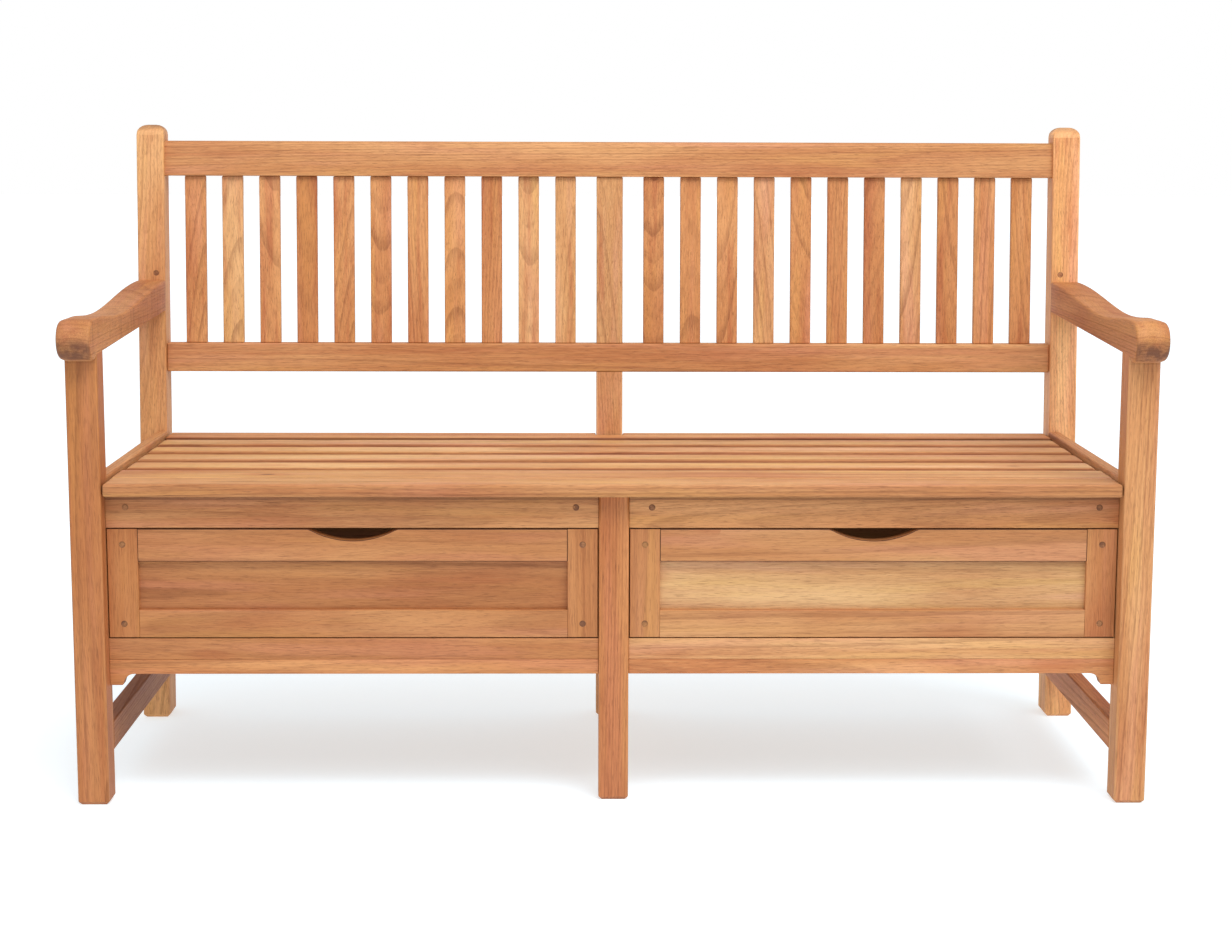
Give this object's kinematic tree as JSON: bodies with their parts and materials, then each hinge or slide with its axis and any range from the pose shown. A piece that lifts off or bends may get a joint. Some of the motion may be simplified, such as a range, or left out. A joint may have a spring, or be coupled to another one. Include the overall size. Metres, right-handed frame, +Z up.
{
  "type": "garden storage bench",
  "caption": "Slatted three-seat garden bench with a leaning back, scroll arms and wide wooden drawers under the seat.",
  "frame": {"origin": "on the ground, at the middle of the bench's outer box", "axes": "+X along the seat, to the right of someone who faces the bench; +Y from the front of the seat to its back; +Z up"},
  "size_m": [1.506, 0.638, 0.945],
  "materials": {
    "teak_frame": "oiled teak, smooth sanded",
    "teak_slat": "oiled teak, smooth sanded",
    "teak_panel": "oiled teak, smooth sanded",
    "teak_drawer_front": "oiled teak, smooth sanded",
    "teak_drawer_box": "oiled teak, smooth sanded",
    "teak_inner": "oiled teak, smooth sanded",
    "teak_peg": "oiled teak, smooth sanded"
  },
  "bodies": {
    "bench": {"front_leg_left": "teak_frame", "front_leg_right": "teak_frame", "front_leg_centre": "teak_frame", "back_leg_left": "teak_frame", "back_leg_right": "teak_frame", "back_leg_centre": "teak_frame", "back_top_rail": "teak_frame", "back_lower_rail": "teak_frame", "back_slats_left": "teak_slat", "back_slats_right": "teak_slat", "back_centre_slat": "teak_slat", "arm_left": "teak_frame", "arm_right": "teak_frame", "seat_front_board": "teak_frame", "seat_slat_1": "teak_slat", "seat_slat_2": "teak_slat", "seat_slat_3": "teak_slat", "seat_slat_4": "teak_slat", "seat_slat_5": "teak_slat", "seat_rear_slat": "teak_slat", "seat_side_board_left": "teak_frame", "seat_side_board_right": "teak_frame", "seat_bearers": "teak_inner", "front_top_rail_left": "teak_frame", "front_top_rail_right": "teak_frame", "front_bottom_rail_left": "teak_frame", "front_bottom_rail_right": "teak_frame", "front_apron_left": "teak_frame", "front_apron_right": "teak_frame", "side_bottom_rail_left": "teak_frame", "side_bottom_rail_right": "teak_frame", "side_apron_left": "teak_frame", "side_apron_right": "teak_frame", "side_panel_left": "teak_panel", "side_panel_right": "teak_panel", "rear_top_rail": "teak_frame", "rear_bottom_rail": "teak_frame", "rear_panels": "teak_panel", "side_stretcher_left": "teak_frame", "side_stretcher_right": "teak_frame", "centre_stretcher": "teak_frame", "drawer_divider": "teak_inner", "drawer_runners": "teak_inner", "frame_pegs": "teak_peg"},
    "drawer_left": {"drawer_left_top_rail": "teak_drawer_front", "drawer_left_bottom_rail": "teak_drawer_front", "drawer_left_stiles": "teak_drawer_front", "drawer_left_panel": "teak_panel", "drawer_left_sides": "teak_drawer_box", "drawer_left_back": "teak_drawer_box", "drawer_left_bottom": "teak_drawer_box", "drawer_left_pegs": "teak_peg"},
    "drawer_right": {"drawer_right_top_rail": "teak_drawer_front", "drawer_right_bottom_rail": "teak_drawer_front", "drawer_right_stiles": "teak_drawer_front", "drawer_right_panel": "teak_panel", "drawer_right_sides": "teak_drawer_box", "drawer_right_back": "teak_drawer_box", "drawer_right_bottom": "teak_drawer_box", "drawer_right_pegs": "teak_peg"}
  },
  "joints": [
    {"name": "drawer_left_slide", "type": "slide", "parent": "bench", "child": "drawer_left", "axis": [0, -1, 0], "range_m": [0, 0.36]},
    {"name": "drawer_right_slide", "type": "slide", "parent": "bench", "child": "drawer_right", "axis": [0, -1, 0], "range_m": [0, 0.36]}
  ]
}
